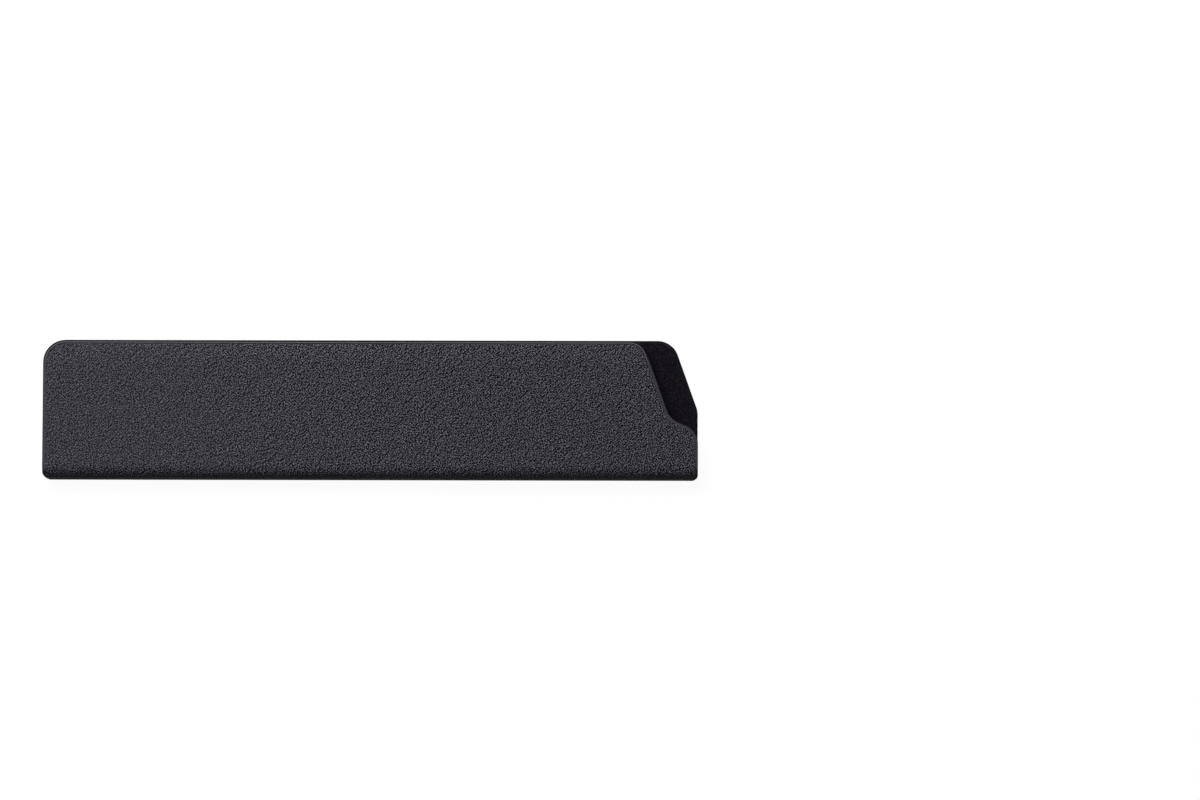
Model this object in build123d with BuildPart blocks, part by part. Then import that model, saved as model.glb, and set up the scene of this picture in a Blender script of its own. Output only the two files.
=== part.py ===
from build123d import *

import os
from math import asin, atan2, cos, degrees, hypot, sin

# A blade guard: one plastic sheet, folded along the side of the cutting edge and lined with
# felt. It lies on its rear panel. X runs from the tip end to the heel end, Y from the fold to
# the mouth and Z up through the thickness. The origin is on the surface that the guard lies
# on, under the middle of its outline.

# Overall
length = 188.0
height = 40.2

# Sheet: its wall, and the outside radius of the fold
wall = 1.1
fold_radius = 4.2

# Gap between the two linings, at the mouth
mouth_gap = 1.0

# Lining: a felt pad on a film of glue, on the inside of each panel
glue_thickness = 0.1
felt_thickness = 0.7
felt_inset = 0.5
glue_inset = 1.1
felt_clear_of_fold = 1.0

# Corners of both panels, seen from the front: at the mouth, and at each end of the fold. The
# circle that eases a corner on the fold runs a little past the end and the crest.
tip_corner_radius = 6.4
tip_fold_radius = 2.2
heel_fold_radius = 1.4
fold_corner_overhang = 0.06

# Front panel's notch at the heel end: the height of the heel corner over the fold's crest,
# how far the inner corner lies above that, and setbacks from the heel end
front_heel_height = 14.35
front_notch_rise = 3.55
front_notch_setback = 8.0
front_mouth_setback = 15.9
front_heel_radius = 5.5
front_notch_radius = 6.0
front_mouth_radius = 5.3

# Rear panel's slanted end, measured alike
rear_heel_height = 20.1
rear_mouth_setback = 7.2
rear_heel_radius = 6.0
rear_mouth_radius = 6.2

# Broken edges
outer_edge_radius = 0.6
inner_edge_radius = 0.2
felt_edge_radius = 0.25

# How far a cutting shape reaches past what it cuts, and how close a face lies to its plane
overrun = 3.0
match_tolerance = 0.01

# The rear panel lies flat. The front one leaves the fold at a tangent and leans in towards the
# mouth, until its lining is mouth_gap from the other.
mouth_thickness = 2 * (wall + glue_thickness + felt_thickness) + mouth_gap
run = height - fold_radius
rise = mouth_thickness - fold_radius
lean = asin(fold_radius / hypot(run, rise)) - atan2(rise, run)

# Places seen from the front
tip_x = -length / 2
heel_x = length / 2
crest_y = -height / 2
mouth_y = height / 2
fold_axis_y = crest_y + fold_radius
front_notch_y = crest_y + front_heel_height + front_notch_rise

# Section of each panel: the origin is where its outer face leaves the fold, x runs to the
# mouth and y into the guard
rear_section = Plane(origin=(0, fold_axis_y, 0), x_dir=(0, 1, 0), z_dir=(1, 0, 0))
front_section = Plane(
    origin=(0, fold_axis_y + fold_radius * sin(lean), fold_radius * (1 + cos(lean))),
    x_dir=(0, cos(lean), -sin(lean)),
    z_dir=(-1, 0, 0),
)

# The sheet is parted at the fold's crest, so that each panel has its share of the fold.
quarter_turn = 90
rear_fold_angle = quarter_turn
front_fold_angle = quarter_turn + degrees(lean)

# Outlines seen from the front: each corner's place and radius. The corners on the fold stay
# sharp here, because they are eased once the rim is rounded.
rear_corners = [
    ((tip_x, crest_y), 0),
    ((heel_x, crest_y), 0),
    ((heel_x, crest_y + rear_heel_height), rear_heel_radius),
    ((heel_x - rear_mouth_setback, mouth_y), rear_mouth_radius),
    ((tip_x, mouth_y), tip_corner_radius),
]
front_corners = [
    ((tip_x, crest_y), 0),
    ((heel_x, crest_y), 0),
    ((heel_x, crest_y + front_heel_height), front_heel_radius),
    ((heel_x - front_notch_setback, front_notch_y), front_notch_radius),
    ((heel_x - front_mouth_setback, mouth_y), front_mouth_radius),
    ((tip_x, mouth_y), tip_corner_radius),
]

# How far a section runs either way along X, and an outline either way along Z
run_of_section = length / 2 + overrun
reach_of_outline = 2 * fold_radius + overrun


def outline(corners, inset=0):
    """Outline through corners with their radii, drawn in by inset."""
    with BuildSketch() as shape:
        with BuildLine():
            FilletPolyline(
                *[place for place, _ in corners],
                radius=[radius for _, radius in corners],
                close=True,
            )
        make_face()
        if inset > 0:
            offset(amount=-inset)
    return shape.sketch


def fold_corner_waste():
    """What the eased corners take off both ends of the fold, seen from the front."""
    tip_inset = tip_fold_radius - fold_corner_overhang
    heel_inset = heel_fold_radius - fold_corner_overhang
    with BuildSketch() as waste:
        with Locations((tip_x + tip_inset, crest_y + tip_inset)):
            Rectangle(tip_inset + overrun, tip_inset + overrun, align=(Align.MAX, Align.MAX))
            Circle(tip_fold_radius, mode=Mode.SUBTRACT)
        with Locations((heel_x - heel_inset, crest_y + heel_inset)):
            Rectangle(heel_inset + overrun, heel_inset + overrun, align=(Align.MIN, Align.MAX))
            Circle(heel_fold_radius, mode=Mode.SUBTRACT)
    return waste.sketch


def panel_section(section_plane, fold_angle):
    """Section of a panel with its share of the fold, up to past the mouth."""
    with BuildSketch(section_plane) as section:
        with BuildLine():
            fold_axis = (0, fold_radius)
            outside = CenterArc(fold_axis, fold_radius, -quarter_turn, -fold_angle)
            inside = CenterArc(fold_axis, fold_radius - wall, -quarter_turn, -fold_angle)
            Line(outside @ 1, inside @ 1)
            Polyline(outside @ 0, (height, 0), (height, wall), inside @ 0)
        make_face()
    return section.sketch


def layer_section(section_plane, depth, thickness, start):
    """Section of a flat layer inside a panel, from start past the fold up to past the mouth."""
    with BuildSketch(section_plane) as section:
        with Locations((start, depth)):
            Rectangle(height, thickness, align=(Align.MIN, Align.MIN))
    return section.sketch


def depth_in_sheet(section_plane, face):
    """How far a face's centre lies under the outside of the sheet, flat or bent."""
    place = section_plane.to_local_coords(face.center())
    if place.X > 0:
        return place.Y
    return fold_radius - hypot(place.X, fold_radius - place.Y)


def rim_edges(panel, section_plane, depth):
    """Cut edges of a panel's flat and bent faces at one depth in the sheet."""
    skin = panel.faces().filter_by(
        lambda face: abs(depth_in_sheet(section_plane, face) - depth) < match_tolerance
    )
    fold_lines = (
        skin.edges()
        .filter_by(Axis.X)
        .filter_by(lambda edge: section_plane.to_local_coords(edge.center()).X < match_tolerance)
    )
    return skin.edges() - fold_lines


def free_edges(layer, section_plane):
    """Edges of the face of a layer that is furthest into the guard."""
    inwards = Axis(section_plane.origin, section_plane.y_dir)
    return layer.faces().sort_by(inwards)[-1].edges()


with BuildPart() as rear_panel:
    extrude(panel_section(rear_section, rear_fold_angle), amount=run_of_section, both=True)
    extrude(outline(rear_corners), amount=reach_of_outline, mode=Mode.INTERSECT)
    fillet(rim_edges(rear_panel, rear_section, 0), radius=outer_edge_radius)
    fillet(rim_edges(rear_panel, rear_section, wall), radius=inner_edge_radius)
    extrude(fold_corner_waste(), amount=reach_of_outline, mode=Mode.SUBTRACT)
rear_panel.part.label = "rear_panel"

with BuildPart() as front_panel:
    extrude(panel_section(front_section, front_fold_angle), amount=run_of_section, both=True)
    extrude(outline(front_corners), amount=reach_of_outline, mode=Mode.INTERSECT)
    fillet(rim_edges(front_panel, front_section, 0), radius=outer_edge_radius)
    fillet(rim_edges(front_panel, front_section, wall), radius=inner_edge_radius)
    extrude(fold_corner_waste(), amount=reach_of_outline, mode=Mode.SUBTRACT)
front_panel.part.label = "front_panel"

# The film under each pad ends short of the pad's edge all round.
film_clear_of_fold = felt_clear_of_fold + glue_inset - felt_inset
felt_depth = wall + glue_thickness

with BuildPart() as rear_glue_film:
    film = layer_section(rear_section, wall, glue_thickness, film_clear_of_fold)
    extrude(film, amount=run_of_section, both=True)
    extrude(outline(rear_corners, glue_inset), amount=reach_of_outline, mode=Mode.INTERSECT)
rear_glue_film.part.label = "rear_glue_film"

with BuildPart() as front_glue_film:
    film = layer_section(front_section, wall, glue_thickness, film_clear_of_fold)
    extrude(film, amount=run_of_section, both=True)
    extrude(outline(front_corners, glue_inset), amount=reach_of_outline, mode=Mode.INTERSECT)
front_glue_film.part.label = "front_glue_film"

with BuildPart() as rear_felt:
    pad = layer_section(rear_section, felt_depth, felt_thickness, felt_clear_of_fold)
    extrude(pad, amount=run_of_section, both=True)
    extrude(outline(rear_corners, felt_inset), amount=reach_of_outline, mode=Mode.INTERSECT)
    fillet(free_edges(rear_felt, rear_section), radius=felt_edge_radius)
rear_felt.part.label = "rear_felt"

with BuildPart() as front_felt:
    pad = layer_section(front_section, felt_depth, felt_thickness, felt_clear_of_fold)
    extrude(pad, amount=run_of_section, both=True)
    extrude(outline(front_corners, felt_inset), amount=reach_of_outline, mode=Mode.INTERSECT)
    fillet(free_edges(front_felt, front_section), radius=felt_edge_radius)
front_felt.part.label = "front_felt"

os.makedirs("parts", exist_ok=True)
pieces = [rear_panel, front_panel, rear_glue_film, front_glue_film, rear_felt, front_felt]
for piece in pieces:
    export_step(piece.part, f"parts/{piece.part.label}.step")
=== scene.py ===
import logging
import math
from dataclasses import dataclass
from enum import Enum

import bpy
import numpy as np
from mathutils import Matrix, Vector


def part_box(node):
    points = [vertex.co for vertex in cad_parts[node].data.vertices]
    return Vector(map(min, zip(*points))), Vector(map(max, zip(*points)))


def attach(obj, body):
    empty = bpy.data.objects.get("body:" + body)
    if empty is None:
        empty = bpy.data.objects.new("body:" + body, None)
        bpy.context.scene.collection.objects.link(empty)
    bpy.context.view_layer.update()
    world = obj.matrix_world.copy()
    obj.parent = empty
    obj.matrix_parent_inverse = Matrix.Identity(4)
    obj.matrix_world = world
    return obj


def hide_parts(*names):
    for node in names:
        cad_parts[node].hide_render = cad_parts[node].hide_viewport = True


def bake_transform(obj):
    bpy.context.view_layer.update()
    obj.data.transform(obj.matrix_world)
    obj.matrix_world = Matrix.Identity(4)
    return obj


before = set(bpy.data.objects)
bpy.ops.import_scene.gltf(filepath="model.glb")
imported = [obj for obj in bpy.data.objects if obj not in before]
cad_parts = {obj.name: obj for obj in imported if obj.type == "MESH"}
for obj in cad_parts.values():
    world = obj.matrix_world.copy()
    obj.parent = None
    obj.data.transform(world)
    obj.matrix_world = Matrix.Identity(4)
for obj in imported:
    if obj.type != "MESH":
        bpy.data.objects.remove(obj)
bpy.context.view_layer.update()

# A blade guard: one grained plastic sheet, folded along the side of the cutting edge, with a
# felt lining glued inside each half. Everything is in metres, in the CAD's frame.

log = logging.getLogger("blade_guard")
MM = 0.001
FLAT_PLACE = "flat_place"
EDGE_DISTANCE = "edge_distance"
Pair = tuple[float, float]
Colour = tuple[float, float, float, float]
Socket = bpy.types.NodeSocket
WHITE: Colour = (1.0, 1.0, 1.0, 1.0)


class Side(Enum):
    """The guard's halves. The value is the sign of the run along the sheet from the crest."""

    REAR = -1
    FRONT = 1

    @property
    def body(self) -> str:
        """CAD body that this half moves with."""
        return f"{self.name.lower()}_half"

    def node(self, piece: str) -> str:
        """CAD node of one of this half's pieces."""
        return f"{self.name.lower()}_{piece}"


class FinishSlot(Enum):
    """The record's material slots."""

    SHELL = "shell_plastic"
    LINING = "lining_felt"


# Geometry


@dataclass(frozen=True)
class Corner:
    """A corner of an outline: its place along X, its height over the fold's crest, its radius."""

    x: float
    height: float
    radius: float = 0.0


@dataclass(frozen=True)
class EdgeLine:
    """One end of a panel's outline, as corners that rise from the fold to the mouth."""

    corners: tuple[Corner, ...]

    def x_at(self, heights: np.ndarray) -> np.ndarray:
        """The edge's place along X at each height.

        Straight runs are interpolated. Over a rounded corner's span, the place is the arc
        centre's, plus or minus the root of the radius squared less the height's squared
        distance from the centre.

        Args:
            heights: Heights over the fold's crest.

        Returns:
            The places along X, in the shape of heights.
        """
        line = np.array([(corner.x, corner.height) for corner in self.corners])
        x = np.interp(heights, line[:, 1], line[:, 0])
        for index in range(1, len(line) - 1):
            radius = self.corners[index].radius
            if radius == 0:
                continue
            corner = line[index]
            arriving = corner - line[index - 1]
            leaving = line[index + 1] - corner
            arriving /= np.linalg.norm(arriving)
            leaving /= np.linalg.norm(leaving)
            turn = arriving[0] * leaving[1] - arriving[1] * leaving[0]
            reach = radius * math.tan(math.acos(float(arriving @ leaving)) / 2)
            start = corner - reach * arriving
            end = corner + reach * leaving
            centre = start + math.copysign(radius, turn) * np.array((-arriving[1], arriving[0]))
            bulge = math.copysign(1.0, corner[0] - centre[0])
            root = np.sqrt(np.clip(radius**2 - (heights - centre[1]) ** 2, 0, None))
            on_arc = (heights >= start[1]) & (heights <= end[1])
            x = np.where(on_arc, centre[0] + bulge * root, x)
        return x


@dataclass(frozen=True)
class FoldedSheet:
    """The sheet that the guard is folded from.

    A flat place is (x, run, depth): x lies along the fold, run is the way along the outer
    surface from the fold's crest, negative on the rear half, and depth is under that surface.
    """

    length: float
    height: float
    wall: float
    fold_radius: float
    mouth_thickness: float

    @classmethod
    def from_frame(cls, mouth_gap: float) -> "FoldedSheet":
        """The sheet as the CAD has it.

        Args:
            mouth_gap: Gap between the two linings at the mouth.

        Returns:
            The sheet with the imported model's sizes.
        """
        low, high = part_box("rear_panel")
        return cls(
            length=high.x - low.x,
            height=high.y - low.y,
            wall=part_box("rear_glue_film")[0].z,
            fold_radius=high.z,
            mouth_thickness=2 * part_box("rear_felt")[1].z + mouth_gap,
        )

    @property
    def crest(self) -> np.ndarray:
        """The middle of the fold's crest."""
        return np.array((0.0, -self.height / 2, self.fold_radius))

    @property
    def lean(self) -> float:
        """How far the front half leans in from parallel.

        Returns:
            The angle in radians.
        """
        run = self.height - self.fold_radius
        rise = self.mouth_thickness - self.fold_radius
        return math.asin(self.fold_radius / math.hypot(run, rise)) - math.atan2(rise, run)

    def fold_end(self, side: Side) -> float:
        """Angle from the crest to where the fold meets that half's flat, without sign."""
        return math.pi / 2 + (self.lean if side is Side.FRONT else 0.0)

    def flat_start(self, side: Side) -> float:
        """Height over the crest at which that half's flat starts."""
        return self.fold_radius * (1 - math.cos(self.fold_end(side)))

    def run_at(self, side: Side, heights: np.ndarray) -> np.ndarray:
        """Run along the sheet to heights on a half's flat.

        Args:
            side: The half.
            heights: Heights over the crest, from flat_start on.

        Returns:
            The signed runs.
        """
        end = self.fold_end(side)
        flat = (heights - self.flat_start(side)) / math.sin(end)
        return side.value * (self.fold_radius * end + flat)

    def place(self, flat: np.ndarray) -> np.ndarray:
        """Where flat places lie on the folded guard.

        The angle round the fold is the run over its radius, held between the two flats. The
        place is the fold's axis, plus the outward direction times the radius less the depth,
        plus the rest of the run along the tangent.

        Args:
            flat: Flat places, (x, run, depth) in the last axis.

        Returns:
            Points in the CAD's frame, in the shape of flat.
        """
        x, run, depth = np.moveaxis(flat, -1, 0)
        radius = self.fold_radius
        angle = np.clip(run / radius, -self.fold_end(Side.REAR), self.fold_end(Side.FRONT))
        rest = run - radius * angle
        reach = radius - depth
        y = self.crest[1] + radius - reach * np.cos(angle) + rest * np.sin(angle)
        z = radius + reach * np.sin(angle) + rest * np.cos(angle)
        return np.stack((x, y, z), axis=-1)


@dataclass(frozen=True)
class Outlines:
    """Outlines of the two panels, seen from the front."""

    length: float
    height: float
    tip_radius: float = 6.4 * MM
    front_heel: Corner = Corner(0.0, 14.35 * MM, 5.5 * MM)
    front_notch: Corner = Corner(8.0 * MM, 17.9 * MM, 6.0 * MM)
    front_mouth: Corner = Corner(15.9 * MM, 0.0, 5.3 * MM)
    rear_heel: Corner = Corner(0.0, 20.1 * MM, 6.0 * MM)
    rear_mouth: Corner = Corner(7.2 * MM, 0.0, 6.2 * MM)
    tip_fold_radius: float = 2.2 * MM
    heel_fold_radius: float = 1.4 * MM
    fold_overhang: float = 0.06 * MM

    def _closed(self, end_x: float, start: Corner, corners: list[Corner]) -> EdgeLine:
        """An edge line from start, by corners, on to the middle of the mouth."""
        return EdgeLine((Corner(0.0, start.height), Corner(end_x, start.height, start.radius),
                         *corners, Corner(0.0, self.height)))

    def tip(self, start: Corner) -> EdgeLine:
        """The tip end, alike on both halves.

        Args:
            start: Height and radius of the corner at the fold's side.

        Returns:
            The edge line.
        """
        end_x = -self.length / 2
        return self._closed(end_x, start, [Corner(end_x, self.height, self.tip_radius)])

    def heel(self, side: Side, start: Corner) -> EdgeLine:
        """The heel end of one half: notched on the front, slanted on the rear.

        Args:
            side: The half.
            start: Height and radius of the corner at the fold's side.

        Returns:
            The edge line.
        """
        end_x = self.length / 2
        if side is Side.FRONT:
            setbacks = [self.front_heel, self.front_notch, self.front_mouth]
        else:
            setbacks = [self.rear_heel, self.rear_mouth]
        corners = [Corner(end_x - at.x, at.height or self.height, at.radius) for at in setbacks]
        return self._closed(end_x, start, corners)

    def fold_ease(self, radius: float, heights: np.ndarray) -> np.ndarray:
        """How far an eased corner draws in one end of the fold.

        A circle of that radius passes fold_overhang beyond the end and the crest. The draw-in
        is its centre's distance from the end, less its half chord at that height.

        Args:
            radius: The circle's radius.
            heights: Heights over the crest.

        Returns:
            The draw-in, nought where the circle is past the end.
        """
        centre = radius - self.fold_overhang
        over = np.clip(centre - heights, 0, None)
        chord = np.sqrt(np.clip(radius**2 - over**2, 0, None))
        return np.clip(centre - chord, 0, None)


def spread(steps: int, start: float, end: float, power: float = 1.0) -> np.ndarray:
    """Stations from start to end that close up towards the end as a power of the way left.

    Args:
        steps: How many steps.
        start: First station.
        end: Last station.
        power: One is even; two closes up quadratically.

    Returns:
        The stations, both ends included.
    """
    left = np.linspace(1, 0, steps + 1)
    return end + (start - end) * left**power


def rim_arc(centre: Pair, radius: float, start: float, steps: int) -> np.ndarray:
    """A quarter arc of a rim's section, as centre plus radius times (-cosine, -sine).

    Args:
        centre: The arc's centre, (inset, depth).
        radius: Its radius.
        start: Angle that it starts at, in quarter turns.
        steps: How many steps.

    Returns:
        (inset, depth) for each ring, both ends included.
    """
    angle = np.linspace(start, start - 1, steps + 1) * math.pi / 2
    return np.array(centre) - radius * np.stack((np.cos(angle), np.sin(angle)), axis=-1)


@dataclass
class SheetMesh:
    """A closed sheet worked out over its flat outline: two skins joined by the rings of a rim.

    Its columns crowd towards both ends.
    """

    left: np.ndarray
    right: np.ndarray
    rings: np.ndarray
    columns: int
    end_crowding: float = 0.12

    def __post_init__(self) -> None:
        """Works out the flat places, the faces and each place's distance from the edge."""
        across = np.linspace(0, 1, self.columns)
        self.across = across - self.end_crowding * np.sin(2 * np.pi * across)
        self._walk_outline()
        self._lay_out()

    def _walk_outline(self) -> None:
        """The outline's points and inward normals, once round it.

        It runs up the left edge, along the last row, down the right edge and back along the
        first row. A normal is a quarter turn from the mean direction of the two steps there.
        """
        along = self.across[:, None]
        last_row = self.left[-1] + along * (self.right[-1] - self.left[-1])
        first_row = self.left[0] + along * (self.right[0] - self.left[0])
        self.outline = np.concatenate(
            (self.left, last_row[1:], self.right[-2::-1], first_row[-2:0:-1])
        )
        x, run = self.outline.T
        twice_area = float(np.sum(x * np.roll(run, -1) - np.roll(x, -1) * run))
        turn = math.copysign(1.0, twice_area)
        step = np.roll(self.outline, -1, axis=0) - self.outline
        step /= np.linalg.norm(step, axis=1, keepdims=True)
        way = step + np.roll(step, 1, axis=0)
        way /= np.linalg.norm(way, axis=1, keepdims=True)
        self.normals = turn * np.stack((-way[:, 1], way[:, 0]), axis=-1)

    def _lay_out(self) -> None:
        """Numbers the points and joins them: ring by ring, then each skin's rows."""
        rows, columns, count = len(self.left), self.columns, len(self.outline)
        ring_total = len(self.rings)
        inset = self.rings[:, 0][:, None, None]
        ring_points = self.outline[None] + inset * self.normals[None]
        depth = np.broadcast_to(self.rings[:, 1][:, None, None], (ring_total, count, 1))
        around = np.arange(count)
        behind = np.roll(around, -1)
        strips = [
            np.stack((k * count + around, k * count + behind,
                      (k + 1) * count + behind, (k + 1) * count + around), axis=-1)
            for k in range(ring_total - 1)
        ]
        flats = [np.concatenate((ring_points, depth), axis=-1).reshape(-1, 3)]
        edge = self.rings[:, 0] - self.rings[:, 0].min()
        edges = [np.repeat(edge, count)]
        skins = []
        start = ring_total * count
        for ring, turned in ((0, False), (ring_total - 1, True)):
            grid = np.empty((rows, columns), int)
            grid[:, 0] = np.arange(rows)
            grid[-1, :] = rows - 1 + np.arange(columns)
            grid[:, -1] = 2 * rows + columns - 3 - np.arange(rows)
            grid[0, 1:] = count - np.arange(1, columns)
            grid += ring * count
            inner = np.arange((rows - 2) * (columns - 2)).reshape(rows - 2, columns - 2)
            grid[1:-1, 1:-1] = start + inner
            start += inner.size
            tip, heel = flats[0][grid[1:-1, :1]], flats[0][grid[1:-1, -1:]]
            flat = tip + self.across[None, 1:-1, None] * (heel - tip)
            flats.append(flat.reshape(-1, 3))
            x, run = flat[..., 0], flat[..., 1]
            to_ends = np.minimum(x - tip[..., 0], heel[..., 0] - x)
            first, last = flats[0][grid[0, 1], 1], flats[0][grid[-1, 1], 1]
            to_rows = np.minimum(np.abs(run - first), np.abs(run - last))
            edges.append((edge[ring] + np.minimum(to_ends, to_rows)).ravel())
            quads = np.stack((grid[:-1, :-1], grid[:-1, 1:], grid[1:, 1:], grid[1:, :-1]), axis=-1)
            quads = quads.reshape(-1, 4)
            skins.append(quads[:, ::-1] if turned else quads)
        self.flat = np.concatenate(flats)
        self.edge_distance = np.concatenate(edges)
        self.faces = np.concatenate(strips + skins)


def add_piece(name: str, body: SheetMesh, sheet: FoldedSheet) -> bpy.types.Object:
    """Folds a mesh up into a smooth object whose faces point outwards.

    Args:
        name: The piece's name.
        body: Its mesh, laid out flat.
        sheet: The sheet that says where flat places lie.

    Returns:
        The object, at the origin.
    """
    points, faces = sheet.place(body.flat), body.faces
    corners = points[np.concatenate((faces[:, :3], faces[:, [0, 2, 3]]))]
    volume = np.einsum("ij,ij->i", corners[:, 0], np.cross(corners[:, 1], corners[:, 2])).sum()
    if volume < 0:
        faces = faces[:, ::-1]
    mesh = bpy.data.meshes.new(name)
    mesh.from_pydata(points.tolist(), [], faces.tolist())
    mesh.polygons.foreach_set("use_smooth", np.ones(len(faces), bool))
    for key, kind, field, values in (
        (FLAT_PLACE, "FLOAT_VECTOR", "vector", body.flat),
        (EDGE_DISTANCE, "FLOAT", "value", body.edge_distance),
    ):
        layer = mesh.attributes.new(key, kind, "POINT")
        layer.data.foreach_set(field, values.astype(np.float32).ravel())
    mesh.update()
    piece = bpy.data.objects.new(name, mesh)
    bpy.context.scene.collection.objects.link(piece)
    log.info("%s: %d vertices, %d faces", name, len(points), len(faces))
    return piece


def waves(flat: np.ndarray, lengths: Pair, count: int, seed: int) -> np.ndarray:
    """Gentle unevenness, mostly between -1 and 1.

    It is the sum of sines in random directions, over twice the root of their count.

    Args:
        flat: Flat places, (x, run, depth) in the last axis.
        lengths: Shortest and longest wavelength.
        count: How many sines.
        seed: Seed of their directions, lengths and phases.

    Returns:
        The unevenness at each place.
    """
    rng = np.random.default_rng(seed)
    heading = rng.uniform(0, 2 * np.pi, count)
    number = 2 * np.pi / rng.uniform(*lengths, count)
    phase = rng.uniform(0, 2 * np.pi, count)
    way = np.stack((np.cos(heading), np.sin(heading)), axis=0) * number
    return np.sin(flat[..., :2] @ way + phase).sum(axis=-1) / math.sqrt(count) / 2


# Node trees


@dataclass
class Wiring:
    """Adds nodes to a tree and joins them."""

    tree: bpy.types.NodeTree

    def node(self, kind: str, inputs: dict | None = None, **settings: object) -> bpy.types.Node:
        """Adds a node.

        Args:
            kind: The node's type.
            inputs: Sockets or plain values for its inputs, by name or number.
            settings: Its properties.

        Returns:
            The node.
        """
        node = self.tree.nodes.new(kind)
        for key, value in settings.items():
            setattr(node, key, value)
        for key, value in (inputs or {}).items():
            if isinstance(value, Socket):
                self.tree.links.new(value, node.inputs[key])
            else:
                node.inputs[key].default_value = value
        return node

    def math(self, operation: str, *values: object) -> Socket:
        """The result of a Math node on sockets or numbers."""
        return self.node("ShaderNodeMath", dict(enumerate(values)), operation=operation).outputs[0]

    def ramp(self, value: object, start: object, end: object, low: float = 0.0,
             high: float = 1.0) -> Socket:
        """A smooth step from low at start to high at end, as a socket."""
        inputs = {0: value, 1: start, 2: end, 3: low, 4: high}
        return self.node("ShaderNodeMapRange", inputs, interpolation_type="SMOOTHSTEP").outputs[0]

    def mix(self, factor: object, first: object, second: object) -> Socket:
        """A colour mixed from first to second by factor."""
        inputs = {0: factor, 6: first, 7: second}
        return self.node("ShaderNodeMix", inputs, data_type="RGBA").outputs[2]

    def bands(self, value: object, *stops: tuple) -> Socket:
        """A colour that runs through stops.

        Args:
            value: Where the colour is read, from 0 to 1.
            stops: Each stop's place and colour.

        Returns:
            The colour.
        """
        node = self.node("ShaderNodeValToRGB", {0: value})
        held = node.color_ramp.elements
        for number, (place, colour) in enumerate(stops):
            stop = held[number] if number < len(held) else held.new(1.0)
            stop.position, stop.color = place, colour
        return node.outputs[0]

    def noise(self, place: object, scale: float, detail: float = 2.0,
              roughness: float = 0.5) -> Socket:
        """A noise texture's value at a place."""
        inputs = {"Vector": place, "Scale": scale, "Detail": detail, "Roughness": roughness}
        return self.node("ShaderNodeTexNoise", inputs).outputs[0]

    def bump(self, height: object, reach: float, strength: float = 1.0) -> Socket:
        """A normal that a height tilts."""
        inputs = {"Height": height, "Strength": strength, "Distance": reach}
        return self.node("ShaderNodeBump", inputs).outputs[0]

    def attribute(self, name: str, output: str) -> Socket:
        """A mesh attribute's output."""
        return self.node("ShaderNodeAttribute", attribute_name=name).outputs[output]

    def in_view(self) -> Socket:
        """Tells rays that show a thing from those that only gather its light.

        Returns:
            One for rays from the camera and for those mirrored or let through on their way.
        """
        rays = self.node("ShaderNodeLightPath").outputs
        further = self.math("MAXIMUM", rays["Is Glossy Ray"], rays["Is Transmission Ray"])
        return self.math("MAXIMUM", rays["Is Camera Ray"], further)

    def group(self, tree: bpy.types.NodeTree, inputs: dict) -> bpy.types.Node:
        """Places a shared group with its own values."""
        return self.node("ShaderNodeGroup", inputs, node_tree=tree)


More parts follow.
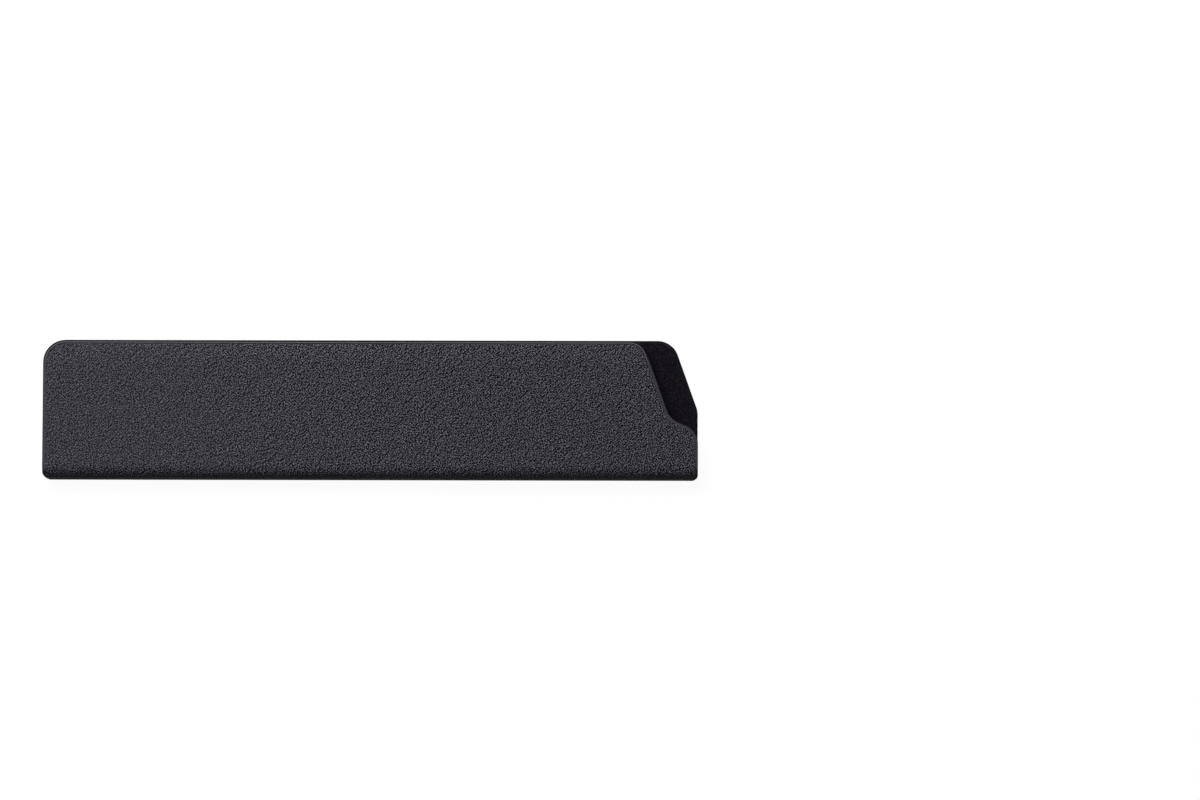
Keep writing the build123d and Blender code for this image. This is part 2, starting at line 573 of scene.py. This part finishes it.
@dataclass
class SharedEffects:
    """The node groups that more than one material uses, each built once."""

    # The grain's cells: their turn, stretch and scatter, how far a bump reaches in one; and the
    # fine noise over them
    cell_turn: float = math.radians(45)
    cell_stretch: tuple[float, float, float] = (0.8, 1.3, 1.0)
    cell_scatter: float = 0.7
    bump_reach: float = 0.65
    fine_rate: float = 1.2
    fine_rise: Pair = (0.28, 0.72)

    # Calmer patches of the grain, and how its tone rises with its height
    calm_rate: float = 0.2
    calm_rise: Pair = (0.35, 0.62)
    calm_height: float = 0.88
    tone_rise: Pair = (0.1, 0.85)
    tone_power: float = 1.5

    # The noise that breaks the wear up
    wear_rate: float = 420.0
    wear_rise: Pair = (0.42, 0.7)

    # Dust: its cells, the radii of a dot, the noise that chooses few of the dots, and drifts
    dust_rate: float = 380.0
    dot_radii: Pair = (0.03, 0.06)
    choice_rate: float = 3.1
    choice_level: float = 0.62
    drift_rate: float = 28.0
    drift_rise: Pair = (0.4, 0.7)

    def __post_init__(self) -> None:
        """Builds the groups."""
        self.grain = self._grain()
        self.wear = self._wear()
        self.dust = self._dust()

    @staticmethod
    def _start(name: str, inputs: dict[str, str],
               outputs: dict[str, str]) -> tuple[Wiring, dict, bpy.types.Node]:
        """Opens a group.

        Args:
            name: Its name.
            inputs: Socket kinds by input name.
            outputs: Socket kinds by output name.

        Returns:
            The wiring, the input sockets by name, and the output node.
        """
        tree = bpy.data.node_groups.new(name, "ShaderNodeTree")
        for way, sockets in (("INPUT", inputs), ("OUTPUT", outputs)):
            for key, kind in sockets.items():
                tree.interface.new_socket(key, in_out=way, socket_type=f"NodeSocket{kind}")
        wiring = Wiring(tree)
        given = wiring.node("NodeGroupInput")
        return wiring, {key: given.outputs[key] for key in inputs}, wiring.node("NodeGroupOutput")

    def _grain(self) -> bpy.types.NodeTree:
        """Leather-like grain: small bumps, drawn out aslant and broken up by fine noise.

        Returns:
            The group.
        """
        wiring, given, result = self._start(
            "grain",
            {"Place": "Vector", "Period": "Float", "Noise": "Float"},
            {"Height": "Float", "Tone": "Float"},
        )
        rate = wiring.math("DIVIDE", 1.0, given["Period"])
        place = wiring.node(
            "ShaderNodeVectorMath", {0: given["Place"], "Scale": rate}, operation="SCALE"
        ).outputs[0]
        place = wiring.node(
            "ShaderNodeMapping",
            {"Vector": place, "Rotation": (0.0, 0.0, self.cell_turn), "Scale": self.cell_stretch},
            vector_type="TEXTURE",
        ).outputs[0]
        cells = wiring.node(
            "ShaderNodeTexVoronoi",
            {"Vector": place, "Scale": 1.0, "Randomness": self.cell_scatter},
            voronoi_dimensions="2D",
        )
        bumps = wiring.ramp(cells.outputs["Distance"], 0.0, self.bump_reach, 1.0, 0.0)
        fine = wiring.ramp(wiring.noise(place, self.fine_rate, detail=0.0), *self.fine_rise)
        height = wiring.node("ShaderNodeMix", {0: given["Noise"], 2: bumps, 3: fine}).outputs[0]
        patches = wiring.noise(place, self.calm_rate, detail=1.0)
        calm = wiring.ramp(patches, *self.calm_rise, self.calm_height, 1.0)
        height = wiring.math("MULTIPLY", height, calm)
        wiring.tree.links.new(height, result.inputs["Height"])
        tone = wiring.math("POWER", wiring.ramp(height, *self.tone_rise), self.tone_power)
        wiring.tree.links.new(tone, result.inputs["Tone"])
        return wiring.tree

    def _wear(self) -> bpy.types.NodeTree:
        """Rubbing along edges: strongest on the edge and broken up along it.

        Returns:
            The group.
        """
        wiring, given, result = self._start(
            "edge_wear",
            {"Place": "Vector", "Distance": "Float", "Width": "Float", "Amount": "Float"},
            {"Wear": "Float"},
        )
        near = wiring.ramp(given["Distance"], 0.0, given["Width"], 1.0, 0.0)
        broken = wiring.noise(given["Place"], self.wear_rate, detail=5.0, roughness=0.65)
        broken = wiring.ramp(broken, *self.wear_rise)
        wear = wiring.math("MULTIPLY", wiring.math("MULTIPLY", near, broken), given["Amount"])
        wiring.tree.links.new(wear, result.inputs["Wear"])
        return wiring.tree

    def _dust(self) -> bpy.types.NodeTree:
        """Specks of dust: small round dots in few of the cells, in drifts.

        Returns:
            The group.
        """
        wiring, given, result = self._start(
            "settled_dust", {"Place": "Vector", "Amount": "Float"}, {"Mask": "Float"}
        )
        cell = wiring.node(
            "ShaderNodeTexVoronoi",
            {"Vector": given["Place"], "Scale": self.dust_rate, "Randomness": 1.0},
        )
        dot = wiring.ramp(cell.outputs["Distance"], *self.dot_radii, 1.0, 0.0)
        choice = wiring.noise(cell.outputs["Position"], self.choice_rate, detail=0.0)
        chosen = wiring.math("GREATER_THAN", choice, self.choice_level)
        drift = wiring.noise(given["Place"], self.drift_rate, detail=3.0)
        drift = wiring.ramp(drift, *self.drift_rise)
        mask = wiring.math("MULTIPLY", wiring.math("MULTIPLY", dot, chosen), drift)
        wiring.tree.links.new(wiring.math("MULTIPLY", mask, given["Amount"]), result.inputs["Mask"])
        return wiring.tree


def start_material(name: str) -> tuple[bpy.types.Material, Wiring, bpy.types.Node]:
    """A new material with its output.

    Args:
        name: The material's name.

    Returns:
        The material, its wiring and its output node.
    """
    material = bpy.data.materials.new(name)
    material.use_nodes = True
    material.node_tree.nodes.clear()
    wiring = Wiring(material.node_tree)
    return material, wiring, wiring.node("ShaderNodeOutputMaterial")


@dataclass(frozen=True)
class GrainedPlastic:
    """Black polypropylene sheet with a fine leather-like grain on its outside."""

    # The grain's bump tops, as a painted highlight: on the flat, lighter at the mouth as painted
    # light, darker on the bend as painted shade; and its pits, as painted shade
    bump_highlight: Colour = (0.219, 0.207, 0.251, 1.0)
    lit_mouth_highlight: Colour = (0.25, 0.237, 0.286, 1.0)
    shaded_bend_highlight: Colour = (0.04, 0.0325, 0.039, 1.0)
    pit_shade: Colour = (0.0028, 0.0025, 0.0034, 1.0)

    # Bare stretches: beside an edge; painted shade on the bend, also the dark inner line of the
    # mouth's rim; the painted shade of the rim's outermost band; and inside the guard
    smooth: Colour = (0.05, 0.0475, 0.056, 1.0)
    painted_shade: Colour = (0.0092, 0.0066, 0.0078, 1.0)
    rim_edge_shade: Colour = (0.003, 0.0028, 0.0034, 1.0)
    inside: Colour = (0.009, 0.0084, 0.0095, 1.0)
    # Rubbed wear on the edges; the same colour paints the highlight line on the mouth's rim
    wear_and_highlight: Colour = (0.12, 0.115, 0.125, 1.0)
    dusty: Colour = (0.16, 0.155, 0.15, 1.0)

    # The grain: its period, its bumps' height, the share of fine noise, and the ways from the
    # edge over which it sets in
    period: float = 0.48 * MM
    grain_height: float = 0.36 * MM
    grain_noise: float = 0.35
    grain_from_edge: Pair = (0.6 * MM, 1.0 * MM)

    # Places along the sheet between which the grain grows stronger, how strong it is there, and
    # the tone that it varies about
    grain_grows: Pair = (-90.0 * MM, 25.0 * MM)
    grain_strength: Pair = (0.72, 1.14)
    grain_tone: float = 0.14

    # Depths over which the outside passes into the inside, runs over which the bend's painted shade
    # passes into the flat and how far the bumps fray that painted shade, and runs over which the
    # mouth's strip of painted light and painted rim sets in
    outer_skin: Pair = (0.2 * MM, 0.5 * MM)
    bend_shade_end: Pair = (3.9 * MM, 5.9 * MM)
    bend_shade_fray: float = 3.4 * MM
    mouth_start: Pair = (34.5 * MM, 40.5 * MM)

    # The mouth's rim: its width, the shares of it where its colours stand (painted shade on the
    # outermost band, a painted highlight line, a painted shade line), and how much later the grain
    # sets in there
    rim_width: float = 1.2 * MM
    rim_stops: tuple[float, ...] = (0.38, 0.46, 0.6, 0.68, 0.84, 0.92)
    rim_gap: float = 0.3 * MM

    # Roughness, the noise that varies it, what wear and a cut edge add to it, and the scuffs
    roughness: Pair = (0.55, 0.61)
    haze_rate: float = 60.0
    haze_rise: Pair = (0.35, 0.65)
    worn_haze: float = 0.15
    cut_haze: float = 0.5
    cut_width: Pair = (0.3 * MM, 0.6 * MM)
    scuff_rate: float = 5200.0
    scuff_share: float = 0.05

    wear_width: float = 0.9 * MM
    wear_amount: float = 0.2
    dust_amount: float = 0.5
    specular: float = 0.05
    refraction: float = 1.49

    def material(self, effects: SharedEffects) -> bpy.types.Material:
        """Builds the material.

        Args:
            effects: The shared node groups.

        Returns:
            The material.
        """
        material, wiring, output = start_material("grained_plastic")
        place = wiring.attribute(FLAT_PLACE, "Vector")
        edge = wiring.attribute(EDGE_DISTANCE, "Fac")
        parts = wiring.node("ShaderNodeSeparateXYZ", {0: place})
        run, depth = wiring.math("ABSOLUTE", parts.outputs[1]), parts.outputs[2]
        mouth = wiring.ramp(run, *self.mouth_start)
        outside = wiring.ramp(depth, *self.outer_skin, 1.0, 0.0)
        within = wiring.math("SUBTRACT", edge, wiring.math("MULTIPLY", mouth, self.rim_gap))
        grained = wiring.math("MULTIPLY", wiring.ramp(within, *self.grain_from_edge), outside)
        grain = wiring.group(
            effects.grain, {"Place": place, "Period": self.period, "Noise": self.grain_noise}
        )
        strength = wiring.ramp(parts.outputs[0], *self.grain_grows, *self.grain_strength)
        # The grain's tone paints shade into its pits and a highlight onto its bump tops
        tone = wiring.math("SUBTRACT", grain.outputs["Tone"], self.grain_tone)
        tone = wiring.math("MULTIPLY_ADD", tone, strength, self.grain_tone)
        # Painted shade on the bend: the flat's colours turn darker round the fold, later on the
        # bump tops than in the pits
        half_fray = self.bend_shade_fray / 2
        fray = wiring.ramp(grain.outputs["Height"], 0.0, 1.0, -half_fray, half_fray)
        clear_of_bend_shade = wiring.ramp(wiring.math("ADD", run, fray), *self.bend_shade_end)
        wear = wiring.group(
            effects.wear,
            {"Place": place, "Distance": edge,
             "Width": self.wear_width, "Amount": self.wear_amount},
        ).outputs["Wear"]
        dust = wiring.group(effects.dust, {"Place": place, "Amount": self.dust_amount})
        # Painted light lightens the bump tops near the mouth; painted shade darkens them on the
        # bend
        bump_highlight = wiring.mix(clear_of_bend_shade, self.shaded_bend_highlight, wiring.mix(mouth, self.bump_highlight, self.lit_mouth_highlight))
        colour = wiring.mix(tone, self.pit_shade, bump_highlight)
        # The mouth's rim is painted: shade on its outermost band, a highlight line, a shade line,
        # then the bare colour
        along_rim = (self.rim_edge_shade, self.wear_and_highlight, self.wear_and_highlight, self.painted_shade, self.painted_shade, self.smooth)
        painted_rim = wiring.bands(
            wiring.math("DIVIDE", edge, self.rim_width), *zip(self.rim_stops, along_rim)
        )
        # Bare plastic, with painted shade on the bend
        plain = wiring.mix(clear_of_bend_shade, self.painted_shade, self.smooth)
        colour = wiring.mix(grained, wiring.mix(mouth, plain, painted_rim), colour)
        colour = wiring.mix(outside, self.inside, colour)
        colour = wiring.mix(wear, colour, self.wear_and_highlight)
        colour = wiring.mix(dust.outputs["Mask"], colour, self.dusty)
        haze = wiring.noise(place, self.haze_rate, detail=4.0)
        hazy = wiring.ramp(haze, *self.haze_rise, *self.roughness)
        hazy = wiring.math("ADD", hazy, wiring.math("MULTIPLY", wear, self.worn_haze))
        hazy = wiring.math("ADD", hazy, wiring.ramp(edge, *self.cut_width, self.cut_haze, 0.0))
        bumps = wiring.math("MULTIPLY", grain.outputs["Height"], strength)
        height = wiring.math("MULTIPLY", bumps, grained)
        scuffs = wiring.math("MULTIPLY", wiring.noise(place, self.scuff_rate), self.scuff_share)
        height = wiring.math("ADD", height, scuffs)
        normal = wiring.bump(height, self.grain_height)
        shader = wiring.node(
            "ShaderNodeBsdfPrincipled",
            {"Base Color": colour, "Roughness": hazy, "Normal": normal,
             "Specular IOR Level": self.specular, "IOR": self.refraction},
        )
        wiring.tree.links.new(shader.outputs[0], output.inputs["Surface"])
        return material


@dataclass(frozen=True)
class PressedFelt:
    """Dense black felt: matted fibres with a faint sheen."""

    low: Colour = (0.0008, 0.0006, 0.001, 1.0)
    high: Colour = (0.0158, 0.0132, 0.0192, 1.0)
    lint: Colour = (0.06, 0.058, 0.062, 1.0)
    nap_height: float = 0.09 * MM
    mat_period: float = 0.42 * MM
    mat_noise: float = 0.8
    clump_rate: float = 1500.0
    fibre_share: float = 0.6
    wear_width: float = 0.8 * MM
    wear_amount: float = 0.18
    lint_amount: float = 0.35

    def material(self, effects: SharedEffects) -> bpy.types.Material:
        """Builds the material.

        Args:
            effects: The shared node groups.

        Returns:
            The material.
        """
        material, wiring, output = start_material("pressed_felt")
        place = wiring.attribute(FLAT_PLACE, "Vector")
        edge = wiring.attribute(EDGE_DISTANCE, "Fac")
        mats = wiring.group(
            effects.grain, {"Place": place, "Period": self.mat_period, "Noise": self.mat_noise}
        )
        clumps = wiring.noise(place, self.clump_rate, detail=3.0, roughness=0.6)
        wear = wiring.group(
            effects.wear,
            {"Place": place, "Distance": edge,
             "Width": self.wear_width, "Amount": self.wear_amount},
        )
        lint = wiring.group(effects.dust, {"Place": place, "Amount": self.lint_amount})
        fibre = wiring.math("ADD", mats.outputs["Tone"], clumps)
        fibre = wiring.math("MULTIPLY", fibre, self.fibre_share)
        colour = wiring.mix(fibre, self.low, self.high)
        colour = wiring.mix(wear.outputs["Wear"], colour, self.lint)
        colour = wiring.mix(lint.outputs["Mask"], colour, self.lint)
        height = wiring.math("ADD", mats.outputs["Height"], clumps)
        normal = wiring.bump(height, self.nap_height, strength=0.9)
        shader = wiring.node(
            "ShaderNodeBsdfPrincipled",
            {"Base Color": colour, "Roughness": 0.95, "Normal": normal,
             "Specular IOR Level": 0.04, "Sheen Weight": 0.06, "Sheen Roughness": 0.5,
             "Sheen Tint": (0.5, 0.5, 0.55, 1.0)},
        )
        wiring.tree.links.new(shader.outputs[0], output.inputs["Surface"])
        return material


@dataclass(frozen=True)
class DriedGlue:
    """The thin amber film of contact adhesive under each lining."""

    thin: Colour = (0.36, 0.33, 0.25, 1.0)
    thick: Colour = (0.2, 0.16, 0.09, 1.0)
    stroke_period: float = 2.4 * MM
    stroke_height: float = 0.03 * MM
    stroke_noise: float = 0.3
    stroke_rise: Pair = (0.1, 0.9)
    gloss: Pair = (0.18, 0.4)
    dust_amount: float = 0.4

    def material(self, effects: SharedEffects) -> bpy.types.Material:
        """Builds the material.

        Args:
            effects: The shared node groups.

        Returns:
            The material.
        """
        material, wiring, output = start_material("dried_glue")
        place = wiring.node("ShaderNodeTexCoord").outputs["Object"]
        strokes = wiring.group(
            effects.grain,
            {"Place": place, "Period": self.stroke_period, "Noise": self.stroke_noise},
        )
        dust = wiring.group(effects.dust, {"Place": place, "Amount": self.dust_amount})
        colour = wiring.mix(strokes.outputs["Tone"], self.thin, self.thick)
        colour = wiring.mix(dust.outputs["Mask"], colour, self.thick)
        gloss = wiring.ramp(strokes.outputs["Height"], *self.stroke_rise, *self.gloss)
        normal = wiring.bump(strokes.outputs["Height"], self.stroke_height, strength=0.6)
        shader = wiring.node(
            "ShaderNodeBsdfPrincipled",
            {"Base Color": colour, "Roughness": gloss, "Normal": normal},
        )
        wiring.tree.links.new(shader.outputs[0], output.inputs["Surface"])
        return material


@dataclass(frozen=True)
class PaleFloor:
    """Seamless white paper, which throws little of its light back on the object."""

    shown: Colour = (0.09, 0.09, 0.09, 1.0)
    glow: float = 0.945
    thrown_back: Colour = (0.16, 0.16, 0.16, 1.0)
    tooth_rate: float = 900.0
    tooth_height: float = 0.1 * MM

    def material(self) -> bpy.types.Material:
        """Builds the material.

        Returns:
            The material.
        """
        material, wiring, output = start_material("white_paper")
        place = wiring.node("ShaderNodeTexCoord").outputs["Object"]
        tooth = wiring.noise(place, self.tooth_rate, detail=3.0)
        normal = wiring.bump(tooth, self.tooth_height, strength=0.1)
        paper = wiring.node("ShaderNodeBsdfDiffuse", {"Color": self.shown, "Normal": normal})
        glow = wiring.node("ShaderNodeEmission", {"Color": WHITE, "Strength": self.glow})
        seen = wiring.node("ShaderNodeAddShader", {0: paper.outputs[0], 1: glow.outputs[0]})
        dim = wiring.node("ShaderNodeBsdfDiffuse", {"Color": self.thrown_back})
        mixed = wiring.node(
            "ShaderNodeMixShader", {0: wiring.in_view(), 1: dim.outputs[0], 2: seen.outputs[0]}
        )
        wiring.tree.links.new(mixed.outputs[0], output.inputs["Surface"])
        return material


# The guard


@dataclass
class PlasticShell:
    """The shell: a single sheet cut to shape, with rounded edges, and folded once."""

    sheet: FoldedSheet
    outlines: Outlines
    outer_edge: float = 0.6 * MM
    inner_edge: float = 0.2 * MM
    row_step: float = 0.45 * MM
    fold_steps: int = 48
    mouth_steps: int = 14
    columns: int = 92

    # The rim's rings: steps of both arcs, insets of those on the outer skin, and how far past
    # the inner arc the last one lies
    outer_steps: int = 6
    inner_steps: int = 3
    outer_insets: Pair = (1.15 * MM, 0.85 * MM)
    inner_reach: float = 0.3 * MM

    # Distances to either side of the crest, for the rear and the front half
    blend_rear: float = 1.05 * MM
    blend_front: float = 1.45 * MM

    def _rows(self) -> np.ndarray:
        """Places the rows, from the rear mouth round the fold to the front mouth.

        Returns:
            Their runs.
        """
        corner = self.outlines.tip_radius
        halves = []
        for side in Side:
            start, mouth = self.sheet.flat_start(side), self.sheet.height
            steps = round((mouth - corner - start) / self.row_step)
            heights = np.concatenate((
                spread(steps, start, mouth - corner),
                spread(self.mouth_steps, mouth - corner, mouth, 2)[1:],
            ))
            halves.append(self.sheet.run_at(side, heights))
        rear, front = halves
        fold = np.linspace(rear[0], front[0], self.fold_steps + 1)
        return np.concatenate((rear[::-1], fold[1:-1], front))

    def _rim(self) -> np.ndarray:
        """Places the rim's rings, from the outer skin round to the inner one.

        Returns:
            (inset, depth) for each ring.
        """
        wall, outer, inner = self.sheet.wall, self.outer_edge, self.inner_edge
        return np.concatenate((
            [(inset, 0.0) for inset in self.outer_insets],
            rim_arc((outer, outer), outer, 1.0, self.outer_steps),
            rim_arc((inner, wall - inner), inner, 0.0, self.inner_steps),
            [(inner + self.inner_reach, wall)],
        ))

    def build(self) -> bpy.types.Object:
        """Builds the shell's mesh in place of both halves' panels, which it hides.

        Returns:
            The shell.
        """
        runs = self._rows()
        at_crest = Corner(0.0, 0.0)
        heights = self.sheet.place(np.stack((0 * runs, runs, 0 * runs), axis=-1))[:, 1]
        heights = np.clip(heights - self.sheet.crest[1], 0, self.sheet.height)
        tip = self.outlines.tip(at_crest).x_at(heights)
        tip += self.outlines.fold_ease(self.outlines.tip_fold_radius, heights)
        heel = np.where(
            runs < 0,
            self.outlines.heel(Side.REAR, at_crest).x_at(heights),
            self.outlines.heel(Side.FRONT, at_crest).x_at(heights),
        )
        heel -= self.outlines.fold_ease(self.outlines.heel_fold_radius, heights)
        ends = [np.stack((x, runs), axis=-1) for x in (tip, heel)]
        body = SheetMesh(ends[0], ends[1], self._rim(), self.columns)
        piece = add_piece("folded_shell", body, self.sheet)
        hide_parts(*(side.node("panel") for side in Side))
        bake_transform(piece)
        return piece


@dataclass
class FeltLining:
    """The felt glued inside one half, cut a little smaller than the half all round."""

    sheet: FoldedSheet
    outlines: Outlines
    side: Side

    # How far from the fold it starts, and the radii of its corners there and of its free edge
    clear_of_fold: float = 1.0 * MM
    corner: float = 1.5 * MM
    soft_edge: float = 0.27 * MM
    soft_steps: int = 4
    columns: int = 70

    # Steps of its rows: by the fold, along the straight ends, and by the mouth
    fold_steps: int = 6
    end_steps: int = 54
    mouth_steps: int = 12

    # Rings on the glued face, how far over it the side starts, and rings on the free face
    glued_insets: Pair = (0.5 * MM, 0.1 * MM)
    side_start: float = 0.08 * MM
    free_insets: Pair = (0.35 * MM, 0.8 * MM)

    # The free face's waves, and what keeps them mostly under the plain face
    unevenness: float = 0.03 * MM
    wave_lengths: Pair = (2.5 * MM, 14.0 * MM)
    wave_count: int = 40
    wave_seed: int = 11
    wave_drop: float = 0.6

    def build(self) -> bpy.types.Object:
        """Returns:
            The lining.
        """
        low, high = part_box("rear_felt")
        inset = low.x + self.sheet.length / 2
        base, free = low.z, high.z
        start = self.sheet.flat_start(self.side)
        start += (self.clear_of_fold - inset) * math.sin(self.sheet.fold_end(self.side))
        mouth, tip_corner = self.sheet.height, self.outlines.tip_radius
        heights = np.concatenate((
            spread(self.fold_steps, start + self.corner, start, 2)[::-1],
            spread(self.end_steps, start + self.corner, mouth - tip_corner)[1:],
            spread(self.mouth_steps, mouth - tip_corner, mouth, 2)[1:],
        ))
        runs = self.sheet.run_at(self.side, heights)
        first = Corner(0.0, start, self.corner)
        lines = self.outlines.tip(first), self.outlines.heel(self.side, first)
        left, right = (np.stack((line.x_at(heights), runs), axis=-1) for line in lines)
        soft = self.soft_edge
        rings = np.concatenate((
            [(inset + further, base) for further in self.glued_insets],
            [(inset, base + self.side_start), (inset, (base + free) / 2)],
            rim_arc((inset + soft, free - soft), soft, 0.0, self.soft_steps),
            [(inset + soft + further, free) for further in self.free_insets],
        ))
        body = SheetMesh(left, right, rings, self.columns)
        share = (body.flat[:, 2] - base) / (free - base)
        seed = self.wave_seed + self.side.value
        uneven = waves(body.flat, self.wave_lengths, self.wave_count, seed) - self.wave_drop
        body.flat[:, 2] += self.unevenness * share * uneven
        piece = add_piece(self.side.node("felt_lining"), body, self.sheet)
        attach(piece, self.side.body)
        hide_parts(self.side.node("felt"))
        self.side.node("glue_film")
        return piece


@dataclass
class BladeGuard:
    """The whole guard: its shell, linings and glue films, and their finishes."""

    sheet: FoldedSheet
    outlines: Outlines
    effects: SharedEffects
    plastic: GrainedPlastic = GrainedPlastic()
    felt: PressedFelt = PressedFelt()
    glue: DriedGlue = DriedGlue()

    def build(self) -> None:
        """Builds and dresses every piece."""
        shell = PlasticShell(self.sheet, self.outlines).build()
        shell.data.materials.append(self.plastic.material(self.effects))
        felt = self.felt.material(self.effects)
        glue = self.glue.material(self.effects)
        for side in Side:
            lining = FeltLining(self.sheet, self.outlines, side).build()
            lining.data.materials.append(felt)
            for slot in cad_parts[side.node("glue_film")].material_slots:
                slot.material = glue
            log.info("%s: keeps its CAD mesh", side.node("glue_film"))


# The studio


@dataclass(frozen=True)
class SoftBox:
    """A large soft lamp that is aimed at a point."""

    name: str
    place: tuple[float, float, float]
    aim: tuple[float, float, float]
    size: Pair
    power: float

    def build(self) -> None:
        """Adds the lamp."""
        lamp = bpy.data.lights.new(self.name, "AREA")
        lamp.shape = "RECTANGLE"
        lamp.size, lamp.size_y = self.size
        lamp.energy = self.power
        holder = bpy.data.objects.new(self.name, lamp)
        holder.location = self.place
        way = Vector(self.aim) - Vector(self.place)
        holder.rotation_euler = way.to_track_quat("-Z", "Y").to_euler()
        holder.visible_camera = False
        bpy.context.scene.collection.objects.link(holder)


@dataclass(frozen=True)
class Studio:
    """Plain floor, soft light and the camera."""

    paper: PaleFloor = PaleFloor()
    lamps: tuple[SoftBox, ...] = (
        SoftBox("key", (-0.17, 0.38, 0.53), (0.0, 0.01, 0.0), (0.5, 0.35), 4.35),
    )
    daylight: float = 0.18
    floor_radius: float = 6.0
    floor_hub: float = 0.02
    floor_drop: float = 0.1 * MM
    floor_rings: int = 24
    floor_turns: int = 96
    view_width: float = 344.3 * MM
    lens: float = 209.0
    sensor_width: float = 36.0
    clip: Pair = (0.01, 50.0)
    looks_at: tuple[float, float, float] = (65.9 * MM, 3.1 * MM, 6.0 * MM)
    roll: float = math.radians(0.12)

    def _floor(self) -> None:
        """A disc under the guard, worked out as radius times (cosine, sine) over a grid."""
        radius, angle = np.meshgrid(
            spread(self.floor_rings, self.floor_radius, self.floor_hub, 3)[::-1],
            np.linspace(0, 2 * np.pi, self.floor_turns + 1)[:-1],
        )
        level = np.full_like(radius, -self.floor_drop)
        points = np.stack((radius * np.cos(angle), radius * np.sin(angle), level), axis=-1)
        number = np.arange(radius.size).reshape(radius.shape)
        after = np.roll(number, -1, axis=0)
        faces = np.stack((number[:, :-1], number[:, 1:], after[:, 1:], after[:, :-1]), -1)
        faces = faces.reshape(-1, 4).tolist() + [number[:, 0].tolist()]
        floor = bpy.data.meshes.new("floor")
        floor.from_pydata(points.reshape(-1, 3).tolist(), [], faces)
        piece = bpy.data.objects.new("floor", floor)
        bpy.context.scene.collection.objects.link(piece)
        floor.materials.append(self.paper.material())

    def _world(self) -> None:
        """White where it is seen or mirrored, and dim as a source of light."""
        world = bpy.data.worlds.new("studio")
        world.use_nodes = True
        world.node_tree.nodes.clear()
        wiring = Wiring(world.node_tree)
        white = wiring.node("ShaderNodeBackground", {"Color": WHITE, "Strength": 1.0})
        dim = wiring.node("ShaderNodeBackground", {"Color": WHITE, "Strength": self.daylight})
        mixed = wiring.node(
            "ShaderNodeMixShader", {0: wiring.in_view(), 1: dim.outputs[0], 2: white.outputs[0]}
        )
        output = wiring.node("ShaderNodeOutputWorld")
        wiring.tree.links.new(mixed.outputs[0], output.inputs["Surface"])
        bpy.context.scene.world = world

    def _camera(self) -> None:
        """A long lens looking straight down on the front panel."""
        camera = bpy.data.cameras.new("camera")
        camera.lens = self.lens
        camera.sensor_width = self.sensor_width
        camera.clip_start, camera.clip_end = self.clip
        holder = bpy.data.objects.new("camera", camera)
        away = self.view_width * self.lens / self.sensor_width
        holder.location = (self.looks_at[0], self.looks_at[1], self.looks_at[2] + away)
        holder.rotation_euler = (0.0, 0.0, self.roll)
        bpy.context.scene.collection.objects.link(holder)
        bpy.context.scene.camera = holder

    def build(self) -> None:
        """Sets the whole studio up."""
        self._floor()
        self._world()
        self._camera()
        for lamp in self.lamps:
            lamp.build()
        bpy.context.scene.view_settings.view_transform = "Standard"


def main() -> None:
    """Builds the guard and the studio."""
    logging.basicConfig(level=logging.INFO, format="%(name)s: %(message)s")
    sheet = FoldedSheet.from_frame(mouth_gap=1.0 * MM)
    guard = BladeGuard(sheet, Outlines(sheet.length, sheet.height), SharedEffects())
    guard.build()
    Studio().build()


if __name__ == "__main__":
    main()
